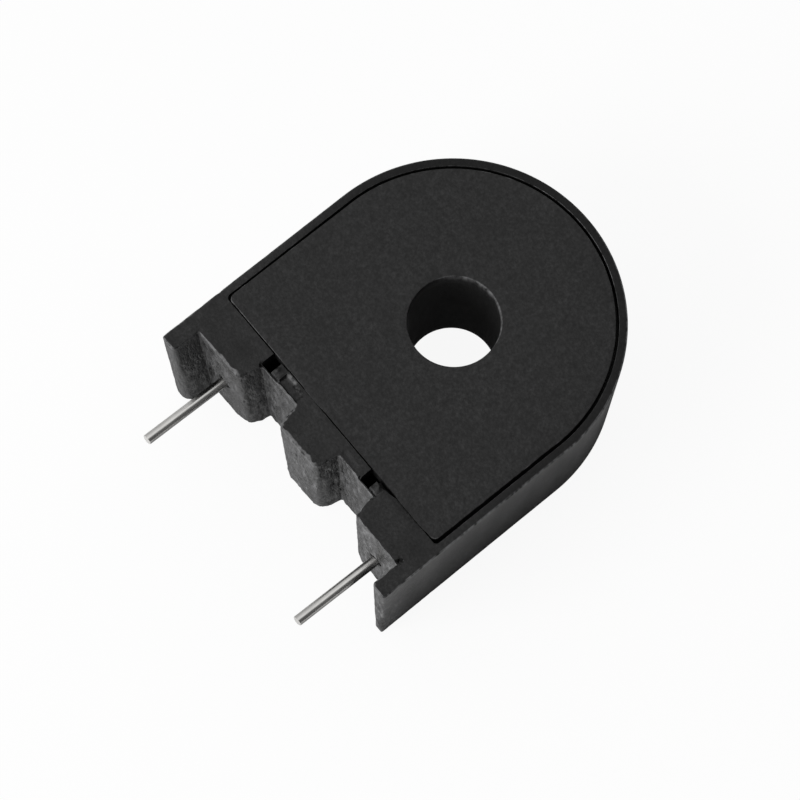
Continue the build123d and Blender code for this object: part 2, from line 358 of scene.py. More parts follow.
def fill(*loops, spacing=0.0, top=-9.0):
    """Triangles between closed lines in a plane: those whose middle is inside an odd number of the lines.

    A spacing above 0 adds a grid of points below y = top, so that the face can be given a relief there.
    """
    loops = [loop.astype(np.float32).astype(float) for loop in loops]    # as exact as Blender's own vectors
    first = np.cumsum([0] + [len(loop) for loop in loops])
    edges = np.vstack([np.column_stack([np.arange(a, b), np.roll(np.arange(a, b), -1)])
                       for a, b in zip(first[:-1], first[1:])])
    given = list(loops) + ([scattered(loops, spacing, top)] if spacing > 0 else [])
    made = delaunay_2d_cdt([Vector(p) for p in np.vstack(given).tolist()], edges.tolist(), [], 0, 1e-6)
    points, triangles = np.array([p[:] for p in made[0]]), np.array(made[2])
    return points, triangles[between(points[triangles].mean(1), loops)]


def level(height, *loops, spacing=0.0, top=-9.0):
    """A flat face at one height."""
    points, triangles = fill(*loops, spacing=spacing, top=top)
    return np.column_stack([points, np.full(len(points), height)]), triangles


# %% One closed skin, and ripples
def skin(name, sheets, material, node):
    """Merges sheets of points, faces and perhaps a share of grey for rubbing and painted highlights into one
    closed mesh, in metres, with its faces outwards."""
    counts = np.cumsum([0] + [len(sheet[0]) for sheet in sheets])
    points = np.vstack([sheet[0] for sheet in sheets]) * MM
    faces = [face for start, sheet in zip(counts, sheets) for face in (sheet[1] + start).tolist()]
    wear_and_highlight_share = np.concatenate([sheet[2] if len(sheet) > 2 else np.zeros(len(sheet[0])) for sheet in sheets])
    mesh = bpy.data.meshes.new(name)
    mesh.from_pydata(points.tolist(), [], faces)
    mesh.attributes.new("wear_and_highlight", "FLOAT", "POINT").data.foreach_set("value", wear_and_highlight_share.astype(np.float32))
    work = bmesh.new()
    work.from_mesh(mesh)
    bmesh.ops.remove_doubles(work, verts=work.verts, dist=2e-6)
    bmesh.ops.dissolve_degenerate(work, dist=1e-7, edges=work.edges)
    bmesh.ops.recalc_face_normals(work, faces=work.faces)
    open_edges = sum(not edge.is_manifold for edge in work.edges)
    work.to_mesh(mesh)
    work.free()
    mesh.shade_smooth()
    mesh.set_sharp_from_angle(angle=math.radians(40))
    piece = bpy.data.objects.new(name, mesh)
    bpy.context.scene.collection.objects.link(piece)
    even = piece.modifiers.new("even_shading", "WEIGHTED_NORMAL")
    even.keep_sharp = True
    mesh.materials.append(material)
    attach(piece, "root")
    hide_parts(node)
    print(name, "points", len(mesh.vertices), "faces", len(mesh.polygons), "open edges", open_edges)


def ripples(points, size, seed):
    """A soft random height between about -1 and 1: the mean of sine waves of about one length in random
    directions."""
    waves = 9
    draw = np.random.default_rng(seed)
    heading = draw.normal(size=(waves, 3))
    heading *= ((2 * math.pi / size) * draw.uniform(0.6, 1.5, (waves, 1))
                / np.linalg.norm(heading, axis=1)[:, None])
    return np.sin(points @ heading.T + draw.uniform(0, 2 * math.pi, waves)).mean(-1) * 2.2


# %% [markdown]
# ## Black moulded plastic
#
# The housing and cover are moulded from black plastic filled with glass fibre. Close up it isn't one flat
# black: the spark-eroded mould leaves a fine satin grain, and the fibres make faint lighter specks. Edges are
# greyer, partly where they rub against others in the tray and partly as painted highlights where light
# catches them. On the foot, the blocks and the legs, where the mould fills last, the surface is coarser and
# mottled, most of all on the faces towards the pins, where the grey of the fibres is also painted light,
# stronger towards
# +X. The rim round the cover is duller, and the housing's colour darkens towards the round end as painted
# shade. A single noise would look like fog, so several sizes are layered, and a few masks, worked out from
# the place on the part and the way a face points, tell where each kind of surface lies.

# %% Where the plastic is coarse, and where light and shade are painted
def plastic_masks(made, place, facing, rim_shade_share):
    """Masks from 0 to 1, each a step between two places or two directions of a face, or a product of such
    steps.

    right: the side wall at +X. coarse: the foot's end of the part without its side walls. top: the front
    face. sides: coarse but not the front face. The fifth mask, for grey fibres and painted light, is the
    sides, most where they face the pins, stronger towards +X and on the side wall near the leg tip, where
    more light falls. The last, for the rim and its painted shade, is 1 at the foot and the rim's share at the
    round end."""
    right = made.spread(place["X"], 0.0101, 0.0104, 0.0, 1.0)
    # The side wall near the leg tip, made lighter grey as painted light.
    tip = made.times(right, made.spread(place["Y"], -0.0118, -0.0146, 0.0, 1.0))
    end = made.math("MAXIMUM", made.spread(facing["Y"], -0.3, -0.8, 0.0, 1.0), tip)
    inner = made.spread(made.math("ABSOLUTE", place["X"]), 0.0100, 0.0106, 1.0, 0.0)
    coarse = made.times(made.spread(place["Y"], -0.0104, -0.0112, 0.0, 1.0, "SMOOTHSTEP"),
                        made.math("MAXIMUM", inner, end))
    top = made.spread(place["Z"], 0.0107, 0.01082, 0.0, 1.0)
    sides = made.times(coarse, made.spread(top, 0.0, 1.0, 1.0, 0.0))
    # Fibre grey, most on the faces towards the pins and more towards +X: partly fibres, partly painted light
    # where more light falls.
    fibre_and_painted_light_mask = made.times(sides, made.spread(end, 0.0, 1.0, 0.2, 1.0))
    fibre_and_painted_light_mask = made.times(fibre_and_painted_light_mask, made.spread(place["X"], -0.009, 0.011, 0.6, 1.15))
    # Painted shade: the colour is darker towards the round end, along a slanted step.
    slanting = made.math("MULTIPLY_ADD", place["X"], 0.3, place["Y"])
    rim = made.spread(slanting, -0.0120, 0.002, 1.0, rim_shade_share, "SMOOTHSTEP")
    return right, coarse, top, sides, fibre_and_painted_light_mask, rim


# %% The plastic's colour
# The grey of fibres and rubbed edges, also used for painted light and painted highlights.
fibre_and_highlight_grey = (0.19, 0.19, 0.193, 1)


def plastic_colour(made, tint, specks, patches, mottles, coarse, fibre_and_painted_light_mask, rim):
    """Dark plastic with lighter specks, times soft patches and mottles and the rim's painted shade, then grey
    fibres that are partly painted light, and grey on edges for rubbing and painted highlights."""
    speckled = made.ramp(specks, (0.36, 0.68), (tint * 0.6,) * 3, (tint * 1.6, tint * 1.6, tint * 1.62))
    patched = made.times(made.spread(patches, 0.3, 0.7, -1.0, 1.0), made.spread(coarse, 0.0, 1.0, 0.2, 0.6))
    # Painted shade: the rim mask darkens the colour towards the round end.
    mottled = made.times(rim, made.spread(mottles, 0.32, 0.68, 0.55, 1.45))
    plain = made.mix("MULTIPLY", 1.0, speckled, made.times(mottled, made.math("ADD", patched, 1.0)))
    # Grey fibres, partly painted light on the faces that catch more of it.
    fibre_and_painted_light = made.mix("MIX", made.times(fibre_and_painted_light_mask, made.spread(mottles, 0.42, 0.68, 0.0, 1.0)), plain, fibre_and_highlight_grey)
    # Grey on edges: partly rubbing, partly painted highlights.
    wear_and_highlight = made.add("Attribute", attribute_name="wear_and_highlight").outputs["Fac"]
    return made.mix("MIX", made.times(wear_and_highlight, made.spread(mottles, 0.35, 0.62, 0.0, 0.8)), fibre_and_painted_light, fibre_and_highlight_grey)


# %% Its roughness and bumps
def plastic_roughness(made, height, patches, mottles, right, coarse, top, rim, rim_shade_share):
    """About 0.5 in patches, mottled where coarse, duller on the rim and lower down on the side walls."""
    patchy = made.math("ADD", made.spread(patches, 0.3, 0.7, 0.46, 0.56),
                       made.times(coarse, made.spread(mottles, 0.4, 0.6, -0.10, 0.22)))
    dull = 0.25 if rim_shade_share < 1 else 0.0
    rimmed = made.math("ADD", patchy, made.times(top, made.spread(rim, rim_shade_share, 1.0, dull, 0.0)))
    side = made.math("MAXIMUM", made.spread(coarse, 0.0, 1.0, 1.0, 0.0), right)
    return made.math("ADD", rimmed, made.times(side, made.spread(height, 0.0104, 0.001, 0.0, 0.26)))


def plastic_bumps(made, vector, grain, specks, mottles, coarse, sides):
    """Mottles, fibre specks and the mould's fine grain, one bump on the other."""
    uneven = made.math("MULTIPLY_ADD", sides, 0.45, made.spread(coarse, 0.0, 1.0, 0.03, 0.14))
    mottled = made.bump(mottles, 0.00025, uneven)
    speckled = made.bump(specks, 0.00004, 0.4, Normal=mottled)
    return made.bump(made.noise(vector, 9000.0, 3.0, 0.62), 0.00003, grain, Normal=speckled)


# %% The two mouldings' plastic
def black_plastic(name, tint, grain, seed, rim_shade_share=1.0):
    """Black filled plastic. Grain is the bump's strength, seed shifts the patterns, and the rim's share
    darkens the colour towards the round end as painted shade and makes the rim duller there."""
    made = Finish(name)
    coordinates = made.add("TexCoord").outputs
    place, facing = made.split(coordinates["Object"]), made.split(coordinates["Normal"])
    vector = made.add("Mapping", Vector=coordinates["Object"], Scale=(1.0, 1.0, 0.28),
                      Location=(seed * 0.013, seed * 0.007, seed * 0.011)).outputs[0]
    specks, patches = made.noise(vector, 5200.0, 2.0, 0.7), made.noise(vector, 420.0, 4.0)
    mottles = made.noise(vector, 2200.0, 3.0, 0.7)
    right, coarse, top, sides, fibre_and_painted_light_mask, rim = plastic_masks(made, place, facing, rim_shade_share)
    return made.surface(
        Base_Color=plastic_colour(made, tint, specks, patches, mottles, coarse, fibre_and_painted_light_mask, rim),
        Roughness=plastic_roughness(made, place["Z"], patches, mottles, right, coarse, top, rim, rim_shade_share),
        Normal=plastic_bumps(made, vector, grain, specks, mottles, coarse, sides),
        IOR=1.5, Specular_IOR_Level=0.3)


housing_black = black_plastic("black_housing_moulding", 0.011, 0.7, 1, rim_shade_share=0.3)
cover_black = black_plastic("black_cover_moulding", 0.011, 1.0, 7)
print("nodes in each plastic:", len(housing_black.node_tree.nodes), len(cover_black.node_tree.nodes))

# %% [markdown]
# ## The housing
#
# The housing is one moulding: a D that tapers slightly to the back so that it leaves its mould, with the
# front end cut into a foot, two pin blocks and two legs. It could be cut from a block with Booleans, but
# those leave long thin triangles that can't be rounded or roughened. Here each line of the terraces is
# written once and carried up its walls. The edges are rounded by moving the line in along a quarter circle,
# less along the notches than along the D, and the foot, blocks and legs get real small dents, because that
# is where the moulding is rough.

# %% Sizes of the housing
# half widths and depths in millimetres; a name in _y is a distance from the bore towards the pins
body_half, body_depth, draft = 10.9, 10.9, math.radians(1.6)
notch_y, block_y, leg_y, leg_inner = 11.05, 12.7, 14.7, 9.7
recess_half, recess_y, recess_floor = 10.35, 10.03, 9.7
recess_skew = 0.006    # the foot of the recess isn't quite square to its sides
cavity_half, cavity_y, back_wall = 9.53, 9.48, 1.0
bore, tube = 2.95, 3.75
window_in, window_out, step_at, window_y = 4.07, 5.57, 0.72, 10.95
window_floor, step_top = 6.4, 10.66
dip_y, dip_end = 10.27, 6.5    # the mouth is wider beside the second window
pin_x, pin_z, pin_radius, collar = 7.62, 5.2, 0.35, 0.57

# %% The outer wall
# Each corner is x, y and radius, the radius of its front edge and of its back edge, how rough the wall is
# there, and last the spacing of the points after it.
wall_rows, arc_rows = 96, 7
outer_corners = [
    (body_half, body_half, body_half, 0.10, 0.3, 0.0, 0.3),
    (-body_half, body_half, body_half, 0.10, 0.3, 0.0, 0.3),
    (-body_half, -leg_y, 0.15, 0.10, 0.10, 0.6, 0.12), (-leg_inner, -leg_y, 0.3, 0.12, 0.25, 0.6, 0.12),
    (-leg_inner, -block_y, 0.1, 0.05, 0.09, 0.6, 0.11), (-5.72, -block_y, 0.36, 0.22, 0.34, 1.0, 0.11),
    (-5.42, -notch_y, 0.12, 0.03, 0.11, 1.0, 0.11), (-3.95, -notch_y, 0.0, 0.03, 0.15, 1.0, 0.11),
    (-3.6, -notch_y, 0.0, 0.12, 0.15, 1.0, 0.11), (-2.1, -notch_y, 0.12, 0.08, 0.11, 1.0, 0.11),
    (-1.8, -block_y, 0.36, 0.24, 0.34, 1.0, 0.11), (1.8, -block_y, 0.36, 0.20, 0.34, 1.0, 0.11),
    (2.1, -notch_y, 0.12, 0.08, 0.11, 1.0, 0.11), (3.6, -notch_y, 0.0, 0.10, 0.15, 1.0, 0.11),
    (3.95, -notch_y, 0.0, 0.03, 0.15, 1.0, 0.11), (5.42, -notch_y, 0.12, 0.03, 0.11, 1.0, 0.11),
    (5.72, -block_y, 0.18, 0.09, 0.16, 1.0, 0.11), (leg_inner, -block_y, 0.1, 0.05, 0.09, 0.6, 0.11),
    (leg_inner, -leg_y, 0.3, 0.12, 0.25, 0.6, 0.12), (body_half, -leg_y, 0.15, 0.10, 0.10, 0.3, 0.25),
]
outer, outer_out, carried = rounded_loop([corner[:-1] for corner in outer_corners],
                                         [corner[-1] for corner in outer_corners])
front_r, back_r, rough = carried.T
above = outer[:, 1] > 0
lean = np.where(above[:, None], outer_out,
                np.column_stack([np.sign(outer[:, 0])
                                 * np.clip((np.abs(outer[:, 0]) - leg_inner) / 1.2, 0, 1),
                                 np.zeros(len(outer))]))
flat_outer = np.column_stack([outer, outer[:, 0] * 0])
bitten = 0.45 * ripples(flat_outer, 0.8, 3) + 0.3 * ripples(flat_outer, 0.35, 4)
front_r = front_r * (1 + rough * np.where(front_r > 0.05, bitten, 0.1 * bitten))
arc = np.radians(np.linspace(0, 90, arc_rows))[:, None]
straight_rows = wall_rows - 2 * arc_rows
heights = np.vstack([back_r * (1 - np.cos(arc)),
                     back_r + (body_depth - front_r - back_r)
                      * np.linspace(0, 1, straight_rows + 2)[1:-1, None],
                     body_depth - front_r * (1 - np.sin(arc))])
offsets = np.vstack([-back_r * (1 - np.sin(arc)), np.zeros((straight_rows, len(outer))),
                     -front_r * (1 - np.cos(arc))])
outer_wall = np.concatenate([outer[None] + outer_out[None] * offsets[..., None], heights[..., None]], -1)
outer_wall[..., :2] -= lean[None] * ((body_depth - heights) * math.tan(draft))[..., None]
print("outer wall grid:", outer_wall.shape)

# %% Uneven walls towards the back
# Towards the back some sides stand further along x, by an amount read off a few places, and the corners of
# the foot, blocks and legs are rounder: a point near one moves in by a hump that is highest at the corner
# itself.
backward = 1 - heights / body_depth
moved_at = [-10.9, -9.7, -8.6, -6.8, -5.9, -5.3, -4.2, 1.0, 1.7, 2.2, 3.2, 4.6, 5.3, 5.9, 7.0]
moved_by = [0.12, 0.44, 0, 0, 0.36, 0.36, 0, 0, 0.1, 0.1, 0, 0, -0.28, -0.28, 0]
moved = np.interp(outer[:, 0], moved_at, moved_by) * np.interp(-outer[:, 1], [10, 11.05, 13], [0, 0.6, 1])
outer_wall[..., 0] += moved * backward
block_side, foot_side = 5.72, 1.8
for corner_x, corner_y, to_right, reach in (
        (-leg_inner, leg_y, 1, 0.6), (-block_side, block_y, 1, 0.95), (-foot_side, block_y, -1, 0.7),
        (foot_side, block_y, 1, 0.75), (block_side, block_y, -1, 0.7), (leg_inner, leg_y, -1, 0.5)):
    from_side, from_end = np.abs(corner_x - outer[:, 0]), np.abs(outer[:, 1] + corner_y)
    beside = (np.minimum(from_side, from_end) < 0.4) & (np.maximum(from_side, from_end) < 1.2)
    pulled = (0.2 * reach * np.clip(1 - ((from_side - from_end) / reach) ** 2, 0, None) ** 2
              * beside * backward ** 1.5)
    outer_wall[..., 0] -= to_right * pulled
    outer_wall[..., 1] += pulled
print("most that a side is moved, mm:", float(np.abs(moved).max().round(2)))

# %% Dents, pits, rubbed edges and painted highlights
# The marks fade out over the last five rows at the front and the back, so that both edges stay clean lines.
row = np.arange(wall_rows)
quiet = np.minimum(1, 0.2 * np.minimum(row, wall_rows - 1 - row))[:, None]
streaked = outer_wall * [1, 1, 0.3]    # the plastic is dragged along the draw of the mould, so marks are tall
dents = 0.016 * ripples(streaked, 0.7, 5) + 0.012 * ripples(streaked, 0.35, 6) - 0.010
pits = (-0.10 * np.clip(ripples(streaked, 0.4, 8) - 0.7, 0, 0.6)
        - 0.12 * np.clip(ripples(outer_wall, 0.45, 11) - 0.9, 0, 0.5)
        + 0.06 * np.clip(ripples(outer_wall, 0.5, 12) - 1.0, 0, 0.4))
outer_wall[..., :2] += outer_out[None] * ((dents + pits) * rough * quiet)[..., None]
widest = body_half - 0.004
outer_wall[..., 0] = np.clip(outer_wall[..., 0], -widest, widest)
# Grey on the edges: rubbing at the back, and at the front rubbing on the rough parts and painted highlights
# along the D.
edge_wear_and_highlight = np.zeros(outer_wall.shape[:2])
edge_wear_and_highlight[1:6] = 0.5
# Along the D only the right-hand edge is much greyer: a painted highlight where it catches the light.
right_edge_highlight = 0.6 * np.clip((outer[:, 0] + 2) / 8, 0, 1)
edge_wear_and_highlight[-8:-1] = (0.9 + 0.1 * rough) * (0.4 + right_edge_highlight * (rough < 0.5) + 0.6 * (rough >= 0.5))
edge_wear_and_highlight[-8:-1] *= 1 - 0.85 * np.clip(outer_out[:, 0], 0, 1) * (rough > 0.5)
print("deepest mark, mm:", float(np.abs((dents + pits) * rough * quiet).max().round(2)))

# %% [markdown]
# ## Where the pins pass through
#
# The plastic is moulded round each pin, and it shrinks from the metal as it cools. So a pin doesn't come
# out of a clean drilled hole: there is a small ragged crater round it, narrow at first and then as wide as
# the pin's collar. The wall's grid is opened round the pin, filled up to the crater's rim, and the crater
# itself is a profile turned about the pin, with a ripple added to its radius near the face.

# %% Holes in a wall
def turned_about_pin(side, profile, seed=0, ragged=0.0, count=40):
    """A grid about a pin: point = pin axis + radius times (cos, sin); each profile row is (y, radius)."""
    angle = np.arange(count) * 2 * math.pi / count
    ring = np.column_stack([np.cos(angle), np.sin(angle), angle * 0])
    rows = []
    for y, radius in profile:
        fade = math.exp(-max(0.0, y + block_y) / 0.08) * ragged
        r = radius * (1 + fade * ripples(ring + [0, 0, y], 1.3, seed))
        rows.append(np.column_stack([side * pin_x + r * ring[:, 0], np.full(count, y),
                                     pin_z + r * ring[:, 1]]))
    return np.stack(rows)


def opened_wall(grid, rims, wear_and_highlight_share=0.0):
    """A wall as quads, without the cells near each rim, and the pieces that fill those openings up to it."""
    reach = 0.78
    rows, columns = grid.shape[:2]
    keep = np.ones((rows - 1, columns), bool)
    middle = (grid[:-1] + np.roll(grid, -1, 1)[:-1] + grid[1:] + np.roll(grid, -1, 1)[1:]) / 4
    patches = []
    for rim in rims:
        centre = rim.mean(0)
        near = ((np.abs(middle - centre)[..., [0, 2]].max(-1) < reach)
                & (np.abs(middle[..., 1] - centre[1]) < 0.1))
        row, column = np.nonzero(near)
        i0, i1, j0, j1 = row.min(), row.max() + 1, column.min(), column.max() + 1
        keep[i0:i1, j0:j1] = False
        opening = np.vstack([grid[i0, j0:j1], grid[i0:i1, j1], grid[i1, j0 + 1:j1 + 1][::-1],
                             grid[i0 + 1:i1 + 1, j0][::-1]])
        points, triangles = fill(opening[:, [0, 2]], rim[:, [0, 2]])
        given = np.vstack([opening, rim])
        nearest = ((points[:, None] - given[None][..., [0, 2]]) ** 2).sum(-1).argmin(1)
        patches.append((np.column_stack([points[:, 0], given[nearest, 1], points[:, 1]]), triangles))
    quads = grid_quads(rows, columns)[keep.ravel()]
    return [(grid.reshape(-1, 3), quads, np.broadcast_to(wear_and_highlight_share, grid.shape[:2]).ravel())] + patches


crater_profile = [(-block_y, 0.58), (-12.62, 0.51), (-12.4, 0.47), (-12.28, collar), (-cavity_y, collar)]
craters = [turned_about_pin(side, crater_profile, seed=20 + side, ragged=0.22) for side in (-1, 1)]
housing_sheets = opened_wall(outer_wall, [c[0] for c in craters], edge_wear_and_highlight) + [as_sheet(c) for c in craters]
print("outer wall cells kept:", len(housing_sheets[0][1]), "of",
      (outer_wall.shape[0] - 1) * outer_wall.shape[1])

# %% [markdown]
# ## The terraces inside the housing
#
# Seen from the front the mouth of the housing is a D with two short bays, the windows beside the pin
# blocks. Each bay is deep at one end and has a low step at the other. Going down, the line changes at each
# terrace, so every level is one flat fill between the line above and the line below. Corners of radius 0
# are put where another terrace's line has one, so that both lines have the same points there and the skin
# closes.

# %% The lines of the terraces
def d_line(half, reach, corner, foot=(), spacing=0.16):
    """A D about the bore, whose straight foot goes through the given points from left to right."""
    corners = [(half, half, half), (-half, half, half), (-half, -reach, corner)]
    corners += [(x, y, 0.0) for x, y in foot] + [(half, -reach, corner)]
    skewed = [(x, y - recess_skew * x * (y == -recess_y), r) for x, y, r in corners]
    return rounded_loop(skewed, spacing)[:2]


def bay(left, right, step, *depths):
    """The points down one side of a bay, along its floor past the step, and up again; depths go from the
    top down."""
    down = [(left, -y) for y in depths]
    return (down + [(step, -depths[-1])] * (step not in (left, right))
            + [(right, -y) for y in reversed(depths)])


left_step, right_step = -window_in - step_at, window_out - step_at
mouth = d_line(recess_half, recess_y, 0.3,
               bay(-window_out, -window_in, left_step, recess_y, window_y)
               + bay(window_in, window_out, right_step, recess_y, window_y)[:-1]
               + [(window_out, -dip_y), (dip_end, -recess_y)])
ledge = d_line(recess_half, recess_y, 0.3,
               bay(-window_out, left_step, left_step, recess_y, window_y) + [(-window_in, -recess_y)]
               + bay(window_in, right_step, right_step, recess_y, window_y)[:-1]
               + [(right_step, -dip_y), (window_out, -dip_y), (dip_end, -recess_y)])
cavity_bays = d_line(cavity_half, cavity_y, 0.6,
                     bay(-window_out, left_step, left_step, cavity_y, recess_y, window_y)
                     + bay(window_in, right_step, right_step, cavity_y, recess_y, window_y)[:-2]
                     + [(right_step, -dip_y), (right_step, -cavity_y)])
cavity = d_line(cavity_half, cavity_y, 0.6,
                [(x, -cavity_y) for x in (-window_out, left_step, window_in, right_step)])


def with_ribs(line):
    """The same line with three half-round ribs: it moves in by how far a circle of 0.4 mm stands past the
    wall."""
    points, outward = line
    rib_radius_squared, rib_inset = 0.16, 0.15
    along = np.abs(np.arctan2(points[:, 1], points[:, 0])[:, None]
                   - np.radians([30, 90, 150])).min(1) * cavity_half
    rise = np.sqrt(np.clip(rib_radius_squared - along ** 2, 0, None)) - rib_inset
    return points - outward * np.clip(rise, 0, None)[:, None] * (points[:, 1:] > 0), outward


print("points of the mouth, ledge and cavity lines:", len(mouth[0]), len(ledge[0]), len(cavity[0]))

# %% [markdown]
# ## The uneven front of the foot
#
# The strip between the cover and the notches is where the mould fills last, and on the real part it is far
# from flat: a shallow sink with a raised line beside the cover, lumps on the steps in the windows, a wall
# so thin beside them that it is half gone, and a wider groove at one end. Separate pieces would leave
# seams, so this relief is one height function of x and y that lowers every point near the front face, in
# whichever sheet it lies.

# %% Relief of the front face
def smooth(low, high, value):
    """0 below low, 1 above high, and 3 t squared - 2 t cubed between them."""
    t = np.clip((value - low) / (high - low), 0, 1)
    return t * t * (3 - 2 * t)


def area(x, y, left, right, bottom, top, edge):
    """1 in a rectangle, falling to 0 over the edge's width outside it."""
    return (smooth(left - edge, left, x) * (1 - smooth(right, right + edge, x))
            * smooth(bottom - edge, bottom, y) * (1 - smooth(top, top + edge, y)))


def sunk(points):
    """Lowers points near the front by a sum of soft rectangles in x and y, faded in from the recess to the
    front.

    In order: the sink by the first window, a shallow one on the other side of the foot, the thin walls
    beside both windows, a slope beside the cover, a pit at the root of a leg, and a faint unevenness of the
    whole strip."""
    x, y, z = points.T
    flat = np.column_stack([x, y, 0 * x])
    uneven = ripples(flat, 0.7, 31)
    depth = 0.2 * area(x, y, -3.95, -2.35, -10.84, -10.36 + 0.05 * uneven, 0.09)
    depth += 0.05 * area(x, y, 2.2, 3.5, -10.88, -10.62, 0.12)
    depth += 0.34 * (area(x, y, -5.56, -4.05, -11.2, -10.88, 0.06)
                     + area(x, y, 4.05, 5.56, -11.2, -10.88, 0.06))
    depth += 0.09 * smooth(-10.5, -10.1, y) * (y < -9.99) * area(x, y, 6.0, 8.6, -10.5, -9.9, 0.8)
    depth += 0.30 * area(x, y, 9.62, 9.76, -12.72, -12.3, 0.08)
    depth += 0.010 * np.clip(1 + uneven, 0, None) * (1 - smooth(-10.6, -10.3, y))
    lumps = 0.0 * z
    for right in (-window_in, window_out):
        lumps += area(x, y, right - step_at + 0.12, right - 0.08, -window_y + 0.1, -recess_y - 0.3, 0.12)
    raised = (np.abs(z - step_top) < 1e-6) * lumps * (0.06 + 0.08 * ripples(flat, 0.45, 32))
    return np.column_stack([x, y, z - depth * smooth(recess_floor, body_depth, z) + raised])


in_the_sink = np.array([[-3.0, -10.6, body_depth]])
print("first window's sink, mm:", round(body_depth - float(sunk(in_the_sink)[0, 2]), 2))

# %% The housing as one skin
soft = np.radians(np.linspace(0, 90, 5))
mouth_radius, bore_radius = 0.03, 0.15
mouth_wall = wall(*mouth, [(body_depth - mouth_radius * (1 - math.cos(a)), mouth_radius * (1 - math.sin(a)))
                           for a in soft] + [(z, 0) for z in (10.8, step_top)])
mouth_wear_and_highlight = np.zeros(mouth_wall.shape[:2])
# Grey on the mouth's edge: a little rubbing all round, and a painted highlight along the top of the arc.
mouth_wear_and_highlight[1:4] = 0.3 + 0.7 * smooth(8.5, 9.8, mouth[0][:, 1])
rib_top = 8.1
ribbed_bays, ribbed = with_ribs(cavity_bays), with_ribs(cavity)
cavity_wall = wall(*ribbed, [(z, 0) for z in np.linspace(window_floor, back_wall, 19)])
tube_line, bore_line = ring_loop(tube), ring_loop(bore)
bore_wall = wall(*bore_line, [(recess_floor, 0)] + [(z, 0) for z in np.linspace(9, 1, 9)]
                 + [(bore_radius * (1 - math.sin(a)), bore_radius * (1 - math.cos(a))) for a in soft])
housing_sheets += opened_wall(cavity_wall, [c[-1] for c in craters])
housing_sheets += [(*as_sheet(mouth_wall), mouth_wear_and_highlight.ravel())]
housing_sheets += [as_sheet(grid) for grid in (
    wall(*ledge, [(step_top, 0), (recess_floor, 0)]), wall(*cavity_bays, [(recess_floor, 0), (rib_top, 0)]),
    wall(*ribbed_bays, [(rib_top, 0), (window_floor, 0)]),
    wall(*tube_line, [(back_wall, 0), (recess_floor, 0)]),
    bore_wall)]
front = level(body_depth, outer_wall[-1, :, :2], mouth_wall[0, :, :2], spacing=0.12)
housing_sheets += [
    # Grey on the raised line beside the cover: a painted highlight.
    (*front, area(*front[0][:, :2].T, -3.95, -3.1, -10.24, -10.1, 0.05)),
    level(step_top, mouth[0], ledge[0], spacing=0.1),
    level(recess_floor, ledge[0], cavity_bays[0]), level(rib_top, cavity_bays[0], ribbed_bays[0]),
    level(window_floor, ribbed_bays[0], ribbed[0]), level(back_wall, ribbed[0], tube_line[0]),
    level(recess_floor, tube_line[0], bore_line[0]),
    level(0.0, outer_wall[0, :, :2], bore_wall[-1, :, :2], spacing=0.35, top=body_half)]
housing_sheets = [(sunk(sheet[0]), *sheet[1:]) for sheet in housing_sheets]
skin("moulded_housing", housing_sheets, housing_black, "housing")

# %% [markdown]
# ## The cover
#
# The cover is a plate that drops into the mouth until it lies flush, with a thin dark groove left round it.
# A low lip underneath keeps it centred while it is glued. The groove is what the eye reads, so the plate's
# edge is rounded by only a twentieth of a millimetre: more would make it look like a separate lid. It was
# put in slightly crooked, and its foot isn't quite straight, so the groove nearly closes in two places.

# %% Cover plate with its lip
def turned(line, angle):
    """A line and its outward directions turned about the bore by a small angle, in degrees."""
    a = math.radians(angle)
    spin = np.array([[math.cos(a), math.sin(a)], [-math.sin(a), math.cos(a)]])
    return line[0] @ spin, line[1] @ spin


cover_line = turned(d_line(10.17, 9.955, 0.45, spacing=0.12), -0.3)
cover_line[0][:, 0] -= 0.02
across = cover_line[0][:, 0]
nearly_closed = ((smooth(-2.9, -2.3, across) - smooth(-1.3, -0.4, across))
                 + (smooth(6.2, 6.8, across) - smooth(9.0, 9.5, across)))
on_foot = cover_line[1][:, 1] < -0.99
foot_left = 1 - smooth(-5.5, -4.5, across)
uneven_foot = ripples(np.column_stack([across, 0 * across, 0 * across]), 1.2, 43)
cover_line[0][:, 1] -= on_foot * (0.06 * nearly_closed + 0.005 * uneven_foot - 0.02 * foot_left)
lip_outer, lip_inner = d_line(9.43, 9.38, 0.5), d_line(8.83, 8.78, 0.2)
edge_radius, rim_radius = 0.05, 0.12
cover_wall = wall(*cover_line, [(recess_floor, 0)] + [(z, 0) for z in np.linspace(9.9, 10.7, 5)]
                  + [(body_depth - edge_radius * (1 - math.sin(a)),
                       -edge_radius * (1 - math.cos(a))) for a in soft])
cover_bore = wall(*bore_line, [(recess_floor, 0), (10.2, 0)]
                  + [(body_depth - rim_radius * (1 - math.sin(a)),
                       rim_radius * (1 - math.cos(a))) for a in soft])
blunt = smooth(0.1, 0.75, bore_line[0][:, 1] / bore)    # the bore's edge is rubbed round on one side only
cover_bore[2:, :, :2] = bore_line[0] + (cover_bore[2:, :, :2] - bore_line[0]) * (0.3 + 0.7 * blunt)[:, None]
cover_bore[2:, :, 2] = body_depth - (body_depth - cover_bore[2:, :, 2]) * (0.3 + 0.7 * blunt)
# The foot's edge is crisp on its right-hand part.
sharper = on_foot * (1 - smooth(-1.5, -0.8, -across - 2.0))
cover_wall[-5:, :, 1] -= 0.04 * sharper * (1 - np.cos(soft))[:, None]

# %% Rubbed edges and painted highlights of the cover, and its skin
cover_wear_and_highlight = np.zeros(cover_wall.shape[:2])
cover_wear_and_highlight[-5:-1] = np.clip(0.8 * ripples(cover_wall[-5:-1], 1.6, 41) - 0.25, 0, 1) * (1 - sharper)
# A painted highlight along the left part of the foot.
cover_wear_and_highlight[-5:-1] += 0.5 * on_foot * foot_left
